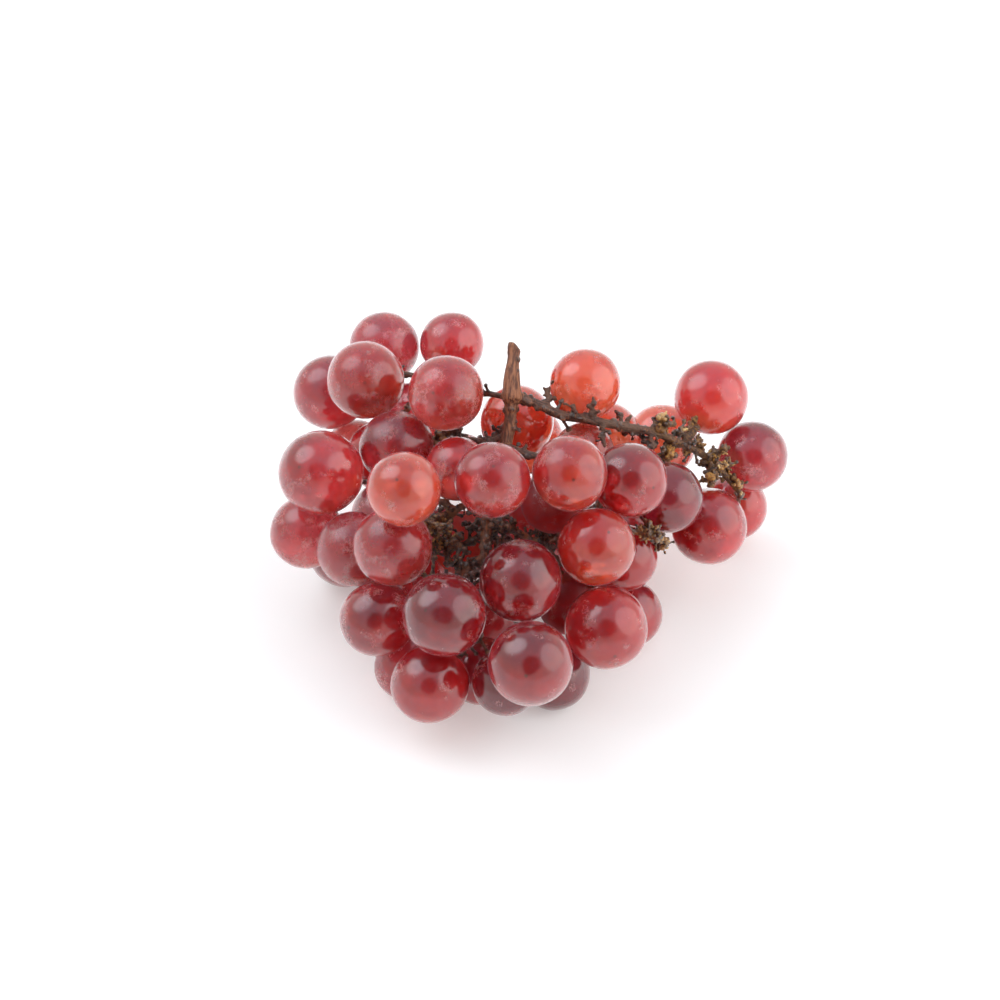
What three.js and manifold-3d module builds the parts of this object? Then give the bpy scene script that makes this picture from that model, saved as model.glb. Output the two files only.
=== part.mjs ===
// A bunch of round red table grapes, lying on its back with its tip towards the viewer.
// Millimetres. The origin is on the table under the middle of the bunch.
// +X is to the viewer's right, +Y is away from the viewer and +Z is up.
import * as THREE from 'three';
import { mergeVertices } from 'three/addons/utils/BufferGeometryUtils.js';
import Module from 'manifold-3d';

const wasm = await Module();
wasm.setup();

// Driving dimensions of the berries
const GAP = 0.3; // left free between neighbouring berries and round the stem
const REST_SINK = 1; // how far a berry that bears weight is pressed flat
const LENGTHENING = [1.0, 1.05]; // a berry's length over its width, least and most
const BERRY_SIDES = 12;
const BERRY_ROWS = 6;

// Driving dimensions of the stem, as radii where each member starts and where it ends
const PEDUNCLE = [1.8, 2.7];
const RACHIS = [1.8, 0.8];
const WING_ARM = [1.4, 0.8];
const BRANCH = [1.0, 0.7];
const SPRIG = [0.75, 0.65];
const STUB = [0.45, 0.75];
const PEDICEL = 0.55;
const COLLAR = 1.35; // the swollen end that holds a berry
const COLLAR_LENGTH = 1.6;
const PEDICEL_LENGTH = 6; // from the stem to the skin, where there is room for it

// Where the viewer stands: looking down at 40 degrees from 700 mm, at a point 36 mm up
const VIEW_TILT = THREE.MathUtils.degToRad(40);
const VIEW_DISTANCE = 700;
const VIEW_TARGET = new THREE.Vector3(-8.6, 3.1, 36);
const VIEW_RIGHT = new THREE.Vector3(1, 0, 0);
const VIEW_UP = new THREE.Vector3(0, Math.sin(VIEW_TILT), Math.cos(VIEW_TILT));
const VIEW_BACK = new THREE.Vector3(0, -Math.cos(VIEW_TILT), Math.sin(VIEW_TILT));
const EYE = VIEW_TARGET.clone().addScaledVector(VIEW_BACK, VIEW_DISTANCE);
const PICTURE_MIDDLE = 500; // pixels, across and down
const PIXELS_PER_MM = 3.75; // at the target's distance

// The line of sight through a point of the picture, px across and py down in pixels.
function sight({ px, py }) {
  const across = (px - PICTURE_MIDDLE) / PIXELS_PER_MM;
  const up = (PICTURE_MIDDLE - py) / PIXELS_PER_MM;
  const seen = VIEW_TARGET.clone().addScaledVector(VIEW_RIGHT, across);
  seen.addScaledVector(VIEW_UP, up);
  return new THREE.Ray(EYE.clone(), seen.sub(EYE).normalize());
}

// The point on that line that lies at a height above the table.
function place(spot) {
  const ray = sight(spot);
  const reach = (spot.height - EYE.z) / ray.direction.z;
  return ray.at(reach, new THREE.Vector3());
}

// Berries that the viewer sees, by the part of the bunch they sit in. px and py are the centre in
// the picture, across is the berry's width in mm at the target's distance, height is its centre's
// height over the table, and rests marks a berry that bears on the table.
const SEEN = {
  left_shoulder: [
    { px: 385, py: 347, across: 18.7, height: 46 },
    { px: 451, py: 344, across: 16.8, height: 48 },
    { px: 332, py: 392, across: 19.7, height: 44 },
    { px: 366, py: 381, across: 20.5, height: 58 },
    { px: 445, py: 394, across: 20.3, height: 62 },
  ],
  left_middle: [
    { px: 398, py: 448, across: 19.2, height: 48 },
    { px: 380, py: 456, across: 18.1, height: 32 },
    { px: 357, py: 452, across: 17.6, height: 24 },
    { px: 455, py: 468, across: 17.1, height: 46 },
    { px: 324, py: 476, across: 22.1, height: 42 },
    { px: 403, py: 493, across: 19.5, height: 58 },
  ],
  left_low: [
    { px: 311, py: 532, across: 19.2, height: 22 },
    { px: 347, py: 551, across: 20.3, height: 19 },
    { px: 358, py: 546, across: 19.7, height: 30 },
    { px: 391, py: 546, across: 20.8, height: 42 },
  ],
  front_left: [
    { px: 381, py: 620, across: 19.7, height: 20 },
    { px: 388, py: 598, across: 16.5, height: 14 },
    { px: 430, py: 681, across: 21.0, height: 20 },
    { px: 409, py: 664, across: 18.1, height: 9, rests: true },
  ],
  tip: [
    { px: 444, py: 617, across: 21.9, height: 34 },
    { px: 522, py: 580, across: 21.9, height: 38 },
    { px: 530, py: 664, across: 22.7, height: 31 },
    { px: 505, py: 682, across: 18.1, height: 18 },
    { px: 555, py: 673, across: 19.3, height: 9, rests: true },
    { px: 476, py: 670, across: 18.1, height: 9, rests: true },
  ],
  front_right: [
    { px: 604, py: 626, across: 22.1, height: 24 },
    { px: 624, py: 614, across: 18.1, height: 11 },
    { px: 595, py: 550, across: 20.5, height: 42 },
    { px: 622, py: 566, across: 17.6, height: 22 },
  ],
  right_middle: [
    { px: 493, py: 480, across: 20.3, height: 62 },
    { px: 570, py: 474, across: 20.3, height: 60 },
    { px: 630, py: 481, across: 20.0, height: 48 },
    { px: 664, py: 496, across: 18.7, height: 36 },
    { px: 585, py: 452, across: 16.0, height: 38 },
  ],
  arm: [
    { px: 515, py: 424, across: 19.7, height: 45 },
    { px: 529, py: 440, across: 18.1, height: 28 },
    { px: 585, py: 385, across: 18.9, height: 57 },
    { px: 607, py: 437, across: 18.1, height: 40 },
    { px: 661, py: 440, across: 19.2, height: 30 },
  ],
  wing: [
    { px: 711, py: 398, across: 19.7, height: 48 },
    { px: 752, py: 456, across: 18.9, height: 32 },
    { px: 709, py: 526, across: 20.3, height: 23 },
    { px: 734, py: 507, across: 17.6, height: 12 },
  ],
  inner: [
    { px: 468, py: 545, across: 17.6, height: 30 },
    { px: 512, py: 535, across: 18.1, height: 26 },
    { px: 550, py: 505, across: 16.0, height: 36 },
    { px: 575, py: 600, across: 17.0, height: 22 },
  ],
};

// Berries of the back and the under side, which the viewer doesn't see: x and y in mm from the
// point on the table under the target.
const UNSEEN = {
  back: [
    { x: -30, y: 38, across: 19, height: 24 },
    { x: -12, y: 36, across: 18, height: 20 },
    { x: 4, y: 30, across: 19, height: 9, rests: true },
    { x: -34, y: 22, across: 19, height: 9, rests: true },
  ],
  under: [
    { x: 20, y: 20, across: 18, height: 9, rests: true },
    { x: 31, y: 6, across: 19, height: 14 },
    { x: -18, y: 14, across: 18, height: 9, rests: true },
    { x: 2, y: 8, across: 19, height: 9, rests: true },
    { x: 20, y: -4, across: 18, height: 9, rests: true },
    { x: -24, y: -8, across: 19, height: 9, rests: true },
    { x: -4, y: -14, across: 18, height: 9, rests: true },
  ],
};

// The stem's routes, as points of the picture with their height over the table.
const PEDUNCLE_ROUTE = [
  { px: 515, py: 343, height: 68 },
  { px: 512, py: 372, height: 63 },
  { px: 512, py: 402, height: 58 },
];
const RACHIS_ROUTE = [
  { px: 512, py: 396, height: 59 },
  { px: 509, py: 430, height: 52 },
  { px: 503, py: 458, height: 47 },
  { px: 494, py: 495, height: 41 },
  { px: 486, py: 530, height: 36 },
  { px: 484, py: 575, height: 28 },
  { px: 482, py: 610, height: 24 },
  { px: 478, py: 636, height: 22 },
];
const WING_ROUTE = [
  { px: 512, py: 397, height: 58 },
  { px: 530, py: 400, height: 58 },
  { px: 545, py: 408, height: 57 },
  { px: 560, py: 415, height: 56 },
  { px: 580, py: 418, height: 55 },
  { px: 600, py: 422, height: 54 },
  { px: 625, py: 427, height: 52 },
  { px: 650, py: 431, height: 49 },
  { px: 680, py: 443, height: 45 },
  { px: 695, py: 450, height: 42 },
  { px: 710, py: 460, height: 39 },
  { px: 725, py: 475, height: 34 },
  { px: 742, py: 495, height: 29 },
];
const BRANCH_ROUTES = {
  left_shoulder: [
    { px: 511, py: 398, height: 58 },
    { px: 493, py: 394, height: 58 },
    { px: 476, py: 394, height: 56 },
    { px: 450, py: 390, height: 51 },
    { px: 422, py: 378, height: 50 },
    { px: 395, py: 372, height: 50 },
    { px: 360, py: 378, height: 48 },
  ],
  left_middle: [
    { px: 508, py: 434, height: 51 },
    { px: 488, py: 442, height: 49 },
    { px: 462, py: 440, height: 48 },
    { px: 436, py: 448, height: 43 },
    { px: 412, py: 470, height: 38 },
    { px: 385, py: 480, height: 36 },
    { px: 358, py: 482, height: 34 },
  ],
  left_low: [
    { px: 495, py: 490, height: 42 },
    { px: 470, py: 502, height: 39 },
    { px: 445, py: 516, height: 36 },
    { px: 418, py: 530, height: 33 },
    { px: 392, py: 538, height: 30 },
    { px: 348, py: 536, height: 27 },
  ],
  front_left: [
    { px: 485, py: 555, height: 32 },
    { px: 464, py: 572, height: 28 },
    { px: 438, py: 590, height: 24 },
    { px: 404, py: 628, height: 17 },
  ],
  tip_right: [
    { px: 483, py: 590, height: 27 },
    { px: 498, py: 604, height: 25 },
    { px: 518, py: 622, height: 22 },
    { px: 540, py: 636, height: 21 },
  ],
  front_right: [
    { px: 489, py: 515, height: 38 },
    { px: 515, py: 530, height: 35 },
    { px: 545, py: 550, height: 31 },
    { px: 578, py: 575, height: 27 },
    { px: 612, py: 594, height: 22 },
  ],
  right_tuft: [
    { px: 530, py: 541, height: 33 },
    { px: 556, py: 540, height: 30 },
    { px: 588, py: 534, height: 28 },
    { px: 625, py: 531, height: 27 },
  ],
  right_middle: [
    { px: 505, py: 445, height: 50 },
    { px: 530, py: 455, height: 51 },
    { px: 560, py: 460, height: 51 },
    { px: 590, py: 468, height: 47 },
    { px: 620, py: 480, height: 40 },
    { px: 650, py: 490, height: 34 },
  ],
  back: [
    { px: 510, py: 425, height: 53 },
    { px: 492, py: 440, height: 44 },
    { px: 478, py: 455, height: 34 },
    { px: 448, py: 467, height: 24 },
    { px: 412, py: 484, height: 19 },
  ],
  under: [
    { px: 487, py: 522, height: 37 },
    { px: 490, py: 538, height: 27 },
    { px: 512, py: 538, height: 21 },
    { px: 575, py: 528, height: 18 },
  ],
};

// Bare sprigs where berries were picked: where each leaves the stem, where it ends, and how many
// stubs it carries.
const SPRIGS = [
  { from: { px: 548, py: 409, height: 57 }, to: { px: 549, py: 388, height: 60 }, stubs: 4 },
  { from: { px: 575, py: 417, height: 55 }, to: { px: 573, py: 404, height: 59 }, stubs: 3 },
  { from: { px: 596, py: 421, height: 54 }, to: { px: 592, py: 408, height: 58 }, stubs: 4 },
  { from: { px: 602, py: 422, height: 54 }, to: { px: 604, py: 437, height: 52 }, stubs: 4 },
  { from: { px: 620, py: 426, height: 52 }, to: { px: 622, py: 413, height: 54 }, stubs: 3 },
  { from: { px: 655, py: 433, height: 48 }, to: { px: 664, py: 423, height: 50 }, stubs: 5 },
  { from: { px: 650, py: 431, height: 49 }, to: { px: 652, py: 444, height: 47 }, stubs: 3 },
  { from: { px: 682, py: 444, height: 44 }, to: { px: 692, py: 424, height: 46 }, stubs: 7 },
  { from: { px: 674, py: 440, height: 45 }, to: { px: 666, py: 460, height: 42 }, stubs: 5 },
  { from: { px: 705, py: 456, height: 40 }, to: { px: 722, py: 452, height: 41 }, stubs: 4 },
  { from: { px: 712, py: 462, height: 38 }, to: { px: 709, py: 480, height: 36 }, stubs: 5 },
  { from: { px: 620, py: 530, height: 27 }, to: { px: 650, py: 540, height: 27 }, stubs: 7 },
];

// Small repeats are placed by a fixed sequence of random numbers, so each build is the same.
function seeded(seed) {
  let state = seed;
  return () => {
    state = (state * 1664525 + 1013904223) % 4294967296;
    return state / 4294967296;
  };
}
const random = seeded(7);
const between = (low, high) => low + (high - low) * random();
const anyDirection = () => new THREE.Vector3(between(-1, 1), between(-1, 1), between(-1, 1));

// One berry of the lists. Its home is where the lists put it, and its line of sight, for a berry
// that is seen, is what it keeps to while the bunch settles.
const UNSEEN_YIELDS = 4; // an unseen berry gives way this many times as far as a seen one
function makeBerry(name, spot) {
  const seen = spot.px !== undefined;
  const onTable = new THREE.Vector3(VIEW_TARGET.x + spot.x, VIEW_TARGET.y + spot.y, spot.height);
  const home = seen ? place(spot) : onTable;
  const away = EYE.clone().sub(home).dot(VIEW_BACK);
  const radius = (spot.across / 2) * (seen ? away / VIEW_DISTANCE : 1);
  return {
    name,
    home,
    radius,
    half: radius * between(...LENGTHENING),
    centre: home.clone(),
    line: seen && sight(spot),
    yields: seen ? 1 : UNSEEN_YIELDS,
    rests: spot.rests,
  };
}

function makeBerries() {
  const sprays = Object.entries({ ...SEEN, ...UNSEEN });
  return sprays.flatMap(([spray, spots]) =>
    spots.map((spot, i) => makeBerry(`${spray}_berry_${i + 1}`, spot)));
}

// A member of the stem: evenly spaced points along its route, with a radius at each.
const SPACING = 2;
function makeMember(spots, [start, end], more) {
  const curve = new THREE.CatmullRomCurve3(spots.map(place), false, 'centripetal');
  const steps = Math.ceil(curve.getLength() / SPACING);
  const points = curve.getSpacedPoints(steps);
  const radii = points.map((_, i) => THREE.MathUtils.lerp(start, end, i / steps));
  return { points, radii, taken: points.map(() => 0), ...more };
}

// Every member but the sprigs. sides is the sides of its solid, every keeps one point in so many
// for that solid, bare is how many points at its start carry nothing, and stubStep is about how
// many points lie between its bare stubs.
function makeMembers() {
  const peduncle = { sides: 8, every: 2, bare: Infinity };
  const members = [makeMember(PEDUNCLE_ROUTE, PEDUNCLE, peduncle)];
  members.push(makeMember(RACHIS_ROUTE, RACHIS, { sides: 7, every: 2, bare: 3, stubStep: 5 }));
  members.push(makeMember(WING_ROUTE, WING_ARM, { sides: 6, every: 2, bare: 3, stubStep: 4 }));
  const branch = { sides: 5, every: 3, bare: 2, stubStep: 8 };
  for (const spots of Object.values(BRANCH_ROUTES)) members.push(makeMember(spots, BRANCH, branch));
  return members;
}

// Moves two berries that touch out of each other.
function pushApart(a, b) {
  const apart = b.centre.clone().sub(a.centre);
  const short = a.half + b.half + GAP - apart.length();
  if (short <= 0) return;
  apart.setLength(short / (a.yields + b.yields));
  a.centre.addScaledVector(apart, -a.yields);
  b.centre.addScaledVector(apart, b.yields);
}

function clearStem(berry, { points, radii }) {
  points.forEach((point, i) => {
    const apart = berry.centre.clone().sub(point);
    const short = berry.half + radii[i] + 2 * GAP - apart.length();
    if (short > 0) berry.centre.add(apart.setLength(short));
  });
}

function keepOnTable(berry) {
  if (berry.rests) berry.centre.z = berry.radius - REST_SINK;
  else berry.centre.z = Math.max(berry.centre.z, berry.half + GAP);
}

// The berries settle against each other and round the stem. For the first passes each is drawn
// back to its line of sight, and a little to its home.
const HELD_PASSES = 420;
const FREE_PASSES = 180;
const HOLD_LINE = 0.35;
const HOLD_HOME = 0.02;
function drawBack(berry) {
  berry.centre.lerp(berry.home, HOLD_HOME);
  if (!berry.line) return;
  const nearest = berry.line.closestPointToPoint(berry.centre, new THREE.Vector3());
  berry.centre.lerp(nearest, HOLD_LINE);
}

function settle(berries, members) {
  for (let pass = 0; pass < HELD_PASSES + FREE_PASSES; pass += 1) {
    if (pass < HELD_PASSES) berries.forEach(drawBack);
    berries.forEach((a, i) => berries.slice(i + 1).forEach((b) => pushApart(a, b)));
    berries.forEach((berry) => members.forEach((member) => clearStem(berry, member)));
    berries.forEach(keepOnTable);
  }
}

// Deletes what a solid doesn't need and joins its vertices, so that it is closed.
function closed(geometry) {
  geometry.deleteAttribute('normal');
  geometry.deleteAttribute('uv');
  return mergeVertices(geometry, 1e-4);
}

function toManifold(geometry) {
  const vertProperties = new Float32Array(geometry.attributes.position.array);
  const triVerts = new Uint32Array(geometry.index.array);
  return new wasm.Manifold(new wasm.Mesh({ numProp: 3, vertProperties, triVerts }));
}

function fromManifold(solid) {
  const mesh = solid.getMesh();
  const geometry = new THREE.BufferGeometry();
  geometry.setAttribute('position', new THREE.BufferAttribute(mesh.vertProperties, 3));
  geometry.setIndex(new THREE.BufferAttribute(mesh.triVerts, 1));
  return geometry;
}

// A closed round stem through a list of points, with a radius at each and a ring of sides.
const FIRST_SIDE = new THREE.Vector3(0.31, 0.17, 0.93); // lies along no member
function stemGeometry(points, radii, sides) {
  const positions = [];
  const index = [];
  const normal = new THREE.Vector3();
  const side = new THREE.Vector3();
  points.forEach((point, i) => {
    const before = points[Math.max(i - 1, 0)];
    const after = points[Math.min(i + 1, points.length - 1)];
    const along = after.clone().sub(before).normalize();
    if (i === 0) normal.crossVectors(FIRST_SIDE, along);
    normal.addScaledVector(along, -normal.dot(along)).normalize();
    side.crossVectors(along, normal);
    for (let k = 0; k < sides; k += 1) {
      const turn = (2 * Math.PI * k) / sides;
      const rim = point.clone().addScaledVector(normal, radii[i] * Math.cos(turn));
      positions.push(...rim.addScaledVector(side, radii[i] * Math.sin(turn)));
    }
  });
  const last = (points.length - 1) * sides;
  for (let ring = 0; ring < last; ring += sides) {
    for (let k = 0; k < sides; k += 1) {
      const here = ring + k;
      const next = ring + ((k + 1) % sides);
      index.push(here, next, next + sides, here, next + sides, here + sides);
    }
  }
  for (let k = 1; k < sides - 1; k += 1) {
    index.push(0, k + 1, k, last, last + k, last + k + 1);
  }
  const geometry = new THREE.BufferGeometry();
  geometry.setAttribute('position', new THREE.Float32BufferAttribute(positions, 3));
  geometry.setIndex(index);
  return geometry;
}

// How far a point lies outside the nearest of the berries.
function room(point, berries) {
  return Math.min(...berries.map((berry) => point.distanceTo(berry.centre) - berry.half));
}

// The stem point that a berry grows from: near, not taken by another, and with a clear way to it.
const ENOUGH_ROOM = 1.2;
const CROWDING_COST = 4; // for each mm of room that is missing
const TAKEN_COST = 2; // for each pedicel that leaves beside it
function rootOf(berry, berries, members) {
  const others = berries.filter((other) => other !== berry);
  let best = { cost: Infinity };
  for (const member of members) {
    for (let i = member.bare; i < member.points.length; i += 1) {
      const way = new THREE.Line3(member.points[i], berry.centre);
      const length = way.distance() - berry.half;
      const checked = [0.2, 0.4, 0.6].map((t) => way.at(t, new THREE.Vector3()));
      const tight = Math.min(...checked.map((point) => room(point, others)), ENOUGH_ROOM);
      const crowding = CROWDING_COST * (ENOUGH_ROOM - tight);
      const cost = Math.abs(length - PEDICEL_LENGTH) + crowding + member.taken[i];
      if (cost < best.cost) best = { cost, member, i };
    }
  }
  const { member, i } = best;
  for (const beside of [i - 1, i, i + 1]) member.taken[beside] += TAKEN_COST;
  return member.points[i];
}

// A pedicel's points, bent clear of every berry, from its root to its berry's skin.
const PEDICEL_POINTS = 4;
const BEND_PASSES = 80;
function pedicelPoints(berry, berries) {
  const skin = (berry.half + GAP) / berry.root.distanceTo(berry.centre);
  const end = berry.centre.clone().lerp(berry.root, skin);
  const points = [];
  for (let i = 0; i < PEDICEL_POINTS; i += 1) {
    points.push(berry.root.clone().lerp(end, i / (PEDICEL_POINTS - 1)));
  }
  for (let pass = 0; pass < BEND_PASSES; pass += 1) {
    for (let i = 1; i < PEDICEL_POINTS - 1; i += 1) {
      const halfway = points[i - 1].clone().lerp(points[i + 1], 0.5);
      points[i].lerp(halfway, 0.3);
      for (const other of berries) {
        const apart = points[i].clone().sub(other.centre);
        const wide = i === PEDICEL_POINTS - 2 && other !== berry ? COLLAR : PEDICEL;
        const short = other.half + wide + 2 * GAP - apart.length();
        if (short > 0) points[i].add(apart.setLength(short));
      }
    }
  }
  return points;
}

// A pedicel as a solid: a thicker foot sunk into the stem, and the collar at its far end.
function pedicelSolid(points) {
  const end = points[points.length - 1];
  const back = points[points.length - 2].clone().sub(end);
  const neck = end.clone().add(back.setLength(Math.min(COLLAR_LENGTH, back.length() / 2)));
  const way = [...points.slice(0, -1), neck, end];
  const radii = way.map(() => PEDICEL);
  radii[0] = PEDICEL * 1.5;
  radii[way.length - 1] = COLLAR;
  return toManifold(stemGeometry(way, radii, 4));
}

// A bare stub, wider at its end, or nothing where a berry is in the way.
function stubSolids(root, direction, length, berries) {
  const tip = root.clone().addScaledVector(direction, length);
  const middle = root.clone().lerp(tip, 0.5);
  const clear = Math.min(room(tip, berries), room(middle, berries)) > STUB[1] + GAP;
  return clear ? [toManifold(stemGeometry([root, tip], STUB, 3))] : [];
}

// Stubs at odd places all along a member, leaning towards its end.
function stubsAlong({ points, radii, bare, stubStep }, berries) {
  const solids = [];
  for (let i = bare + 1; i < points.length - 1; i += Math.round(between(0.6, 1.4) * stubStep)) {
    const along = points[i + 1].clone().sub(points[i]).normalize();
    const out = anyDirection().cross(along).normalize().addScaledVector(along, 0.4).normalize();
    solids.push(...stubSolids(points[i], out, radii[i] + between(1.2, 3), berries));
  }
  return solids;
}

// A bare sprig: a short twig that ends in a fan of stubs.
function sprigSolids({ points, radii, stubs }, berries) {
  const root = points[0];
  const tip = points[points.length - 1];
  const solids = [toManifold(stemGeometry([root, tip], [radii[0], radii[radii.length - 1]], 4))];
  const along = tip.clone().sub(root).normalize();
  for (let i = 0; i < stubs; i += 1) {
    const out = anyDirection().normalize().addScaledVector(along, 0.8).normalize();
    const start = root.clone().lerp(tip, between(0.5, 1));
    solids.push(...stubSolids(start, out, between(2, 3.6), berries));
  }
  return solids;
}

// The whole stem: one grown piece.
function stemSolid(members, sprigs, berries) {
  const parts = members.map(({ points, radii, sides, every }) => {
    const kept = (_, i) => i % every === 0 || i === points.length - 1;
    return toManifold(stemGeometry(points.filter(kept), radii.filter(kept), sides));
  });
  for (const berry of berries) parts.push(pedicelSolid(pedicelPoints(berry, berries)));
  for (const member of members) parts.push(...stubsAlong(member, berries));
  for (const sprig of sprigs) parts.push(...sprigSolids(sprig, berries));
  return parts.reduce((whole, part) => whole.add(part));
}

// A berry as a faceted egg with its long way towards its root, cut flat where it bears weight.
function berrySolid({ centre, radius, half, root, rests }) {
  const profile = [];
  for (let row = 0; row <= BERRY_ROWS; row += 1) {
    const turn = (Math.PI * row) / BERRY_ROWS;
    const wide = row === 0 || row === BERRY_ROWS ? 0 : radius * Math.sin(turn);
    profile.push(new THREE.Vector2(wide, -half * Math.cos(turn)));
  }
  const geometry = closed(new THREE.LatheGeometry(profile, BERRY_SIDES));
  const pole = new THREE.Vector3(0, 1, 0);
  const lean = root.clone().sub(centre).normalize();
  geometry.applyQuaternion(new THREE.Quaternion().setFromUnitVectors(pole, lean));
  geometry.translate(...centre);
  if (!rests) return geometry;
  const wide = 4 * radius;
  const table = closed(new THREE.BoxGeometry(wide, wide, radius));
  table.translate(centre.x, centre.y, -radius / 2);
  return fromManifold(toManifold(geometry).subtract(toManifold(table)));
}

const SKIN = new THREE.MeshStandardMaterial({ color: 0xa33a3f, roughness: 0.45, metalness: 0 });
const BARK = new THREE.MeshStandardMaterial({ color: 0x6b4a33, roughness: 0.85, metalness: 0 });

function named(name, geometry, material) {
  const mesh = new THREE.Mesh(geometry, material.clone());
  mesh.name = name;
  return mesh;
}

function bunch() {
  const members = makeMembers();
  const sprigs = SPRIGS.map(({ from, to, stubs }) => makeMember([from, to], SPRIG, { stubs }));
  const berries = makeBerries();
  settle(berries, [...members, ...sprigs]);
  for (const berry of berries) berry.root = rootOf(berry, berries, members);
  const group = new THREE.Group();
  group.name = 'grape_bunch';
  group.add(named('stem', fromManifold(stemSolid(members, sprigs, berries)), BARK));
  for (const berry of berries) group.add(named(berry.name, berrySolid(berry), SKIN));
  return group;
}

export default bunch();
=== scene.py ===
"""A bunch of round red table grapes lying on its back on a white table.

Metres, in the row frame: the table is z = 0, +X is to the viewer's right and +Y away from the
viewer. The photograph looks down on the bunch at 40 degrees from about 0.7 m.
"""

import math
import random

import bpy
import numpy as np
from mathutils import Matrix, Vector, kdtree, noise
from mathutils.bvhtree import BVHTree


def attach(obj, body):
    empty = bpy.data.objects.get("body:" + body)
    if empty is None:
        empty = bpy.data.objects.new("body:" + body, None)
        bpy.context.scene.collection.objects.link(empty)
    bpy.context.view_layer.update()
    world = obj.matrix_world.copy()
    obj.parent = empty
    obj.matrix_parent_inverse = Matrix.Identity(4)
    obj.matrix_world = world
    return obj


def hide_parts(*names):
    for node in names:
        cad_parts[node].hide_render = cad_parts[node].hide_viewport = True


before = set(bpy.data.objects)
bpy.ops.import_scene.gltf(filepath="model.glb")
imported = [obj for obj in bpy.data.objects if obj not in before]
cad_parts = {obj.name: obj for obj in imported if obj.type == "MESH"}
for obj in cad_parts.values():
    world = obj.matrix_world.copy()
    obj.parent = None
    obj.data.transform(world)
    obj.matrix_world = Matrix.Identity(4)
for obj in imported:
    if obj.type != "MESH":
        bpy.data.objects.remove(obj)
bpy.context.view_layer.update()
MM = 0.001

# The camera
# It stands where the photograph was taken from, 70 cm off, and looks down at 40 degrees at a
# point half way up the bunch.
VIEW_TARGET = Vector((-8.6, 3.1, 36.0)) * MM
VIEW_DISTANCE = 700 * MM
VIEW_TILT = math.radians(40)
VIEW_BACK = Vector((0, -math.cos(VIEW_TILT), math.sin(VIEW_TILT)))
PICTURE_WIDTH = 1000
FOCAL_PIXELS = 2625
SENSOR_WIDTH = 36.0
FAR_CLIP = 20.0

camera_data = bpy.data.cameras.new("camera")
camera_data.sensor_width = SENSOR_WIDTH
camera_data.lens = FOCAL_PIXELS / PICTURE_WIDTH * SENSOR_WIDTH
camera_data.clip_end = FAR_CLIP
camera = bpy.data.objects.new("camera", camera_data)
camera.location = VIEW_TARGET + VIEW_BACK * VIEW_DISTANCE
camera.rotation_euler = (math.pi / 2 - VIEW_TILT, 0, 0)
bpy.context.scene.collection.objects.link(camera)
bpy.context.scene.camera = camera
bpy.context.scene.view_settings.view_transform = "Standard"

# The table and the light
# The bunch lies on a plain white table inside a white cloth tent. Two soft boxes shine through
# the cloth, a large one from the right and a smaller one from the upper left.

class Socket:
    """An output of a node tree, written with as a number: + - * / build Math nodes."""

    def __init__(self, tree, output):
        self.tree = tree
        self.output = output

    def node(self, kind, settings=(), **values):
        """A node of that type: its settings first, then its socket values or links."""
        made = self.tree.nodes.new(kind)
        for name, value in dict(settings).items():
            setattr(made, name, value)
        for name, value in values.items():
            put(self.tree, made, name.replace("_", " "), value)
        return made

    def math(self, operation, *values):
        made = self.tree.nodes.new("ShaderNodeMath")
        made.operation = operation
        for i, value in enumerate(values):
            put(self.tree, made, i, value)
        return Socket(self.tree, made.outputs[0])

    def __add__(self, other):
        return self.math("ADD", self, other)

    def __sub__(self, other):
        return self.math("SUBTRACT", self, other)

    def __rsub__(self, other):
        return self.math("SUBTRACT", other, self)

    def __mul__(self, other):
        return self.math("MULTIPLY", self, other)

    def __truediv__(self, other):
        return self.math("DIVIDE", self, other)

    def __rtruediv__(self, other):
        return self.math("DIVIDE", other, self)

    __radd__ = __add__
    __rmul__ = __mul__

    def ramp(self, low, high, start=0.0, end=1.0):
        """Runs smoothly from start to end as this goes from low to high."""
        made = self.tree.nodes.new("ShaderNodeMapRange")
        made.interpolation_type = "SMOOTHSTEP"
        for i, value in enumerate((self, low, high, start, end)):
            put(self.tree, made, i, value)
        return Socket(self.tree, made.outputs[0])

    def mix(self, first, second):
        """The colour first where this is 0, and second where it is 1."""
        made = self.tree.nodes.new("ShaderNodeMix")
        made.data_type = "RGBA"
        for name, value in (("Factor", self), ("A", first), ("B", second)):
            fitting = [s for s in made.inputs if s.name == name and s.enabled]
            connect(self.tree, fitting[0], value)
        return Socket(self.tree, next(s for s in made.outputs if s.enabled))

    def up(self):
        """The Z part of this place or direction."""
        made = self.tree.nodes.new("ShaderNodeSeparateXYZ")
        connect(self.tree, made.inputs[0], self)
        return Socket(self.tree, made.outputs["Z"])


def connect(tree, socket, value):
    """Links or sets one input."""
    if isinstance(value, Socket):
        tree.links.new(value.output, socket)
    elif isinstance(value, (tuple, list)) and len(value) == 3 and socket.type == "RGBA":
        socket.default_value = (*value, 1.0)
    else:
        socket.default_value = value


def put(tree, node, name, value):
    """Links or sets the input of that name or number."""
    connect(tree, node.inputs[name], value)


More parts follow.
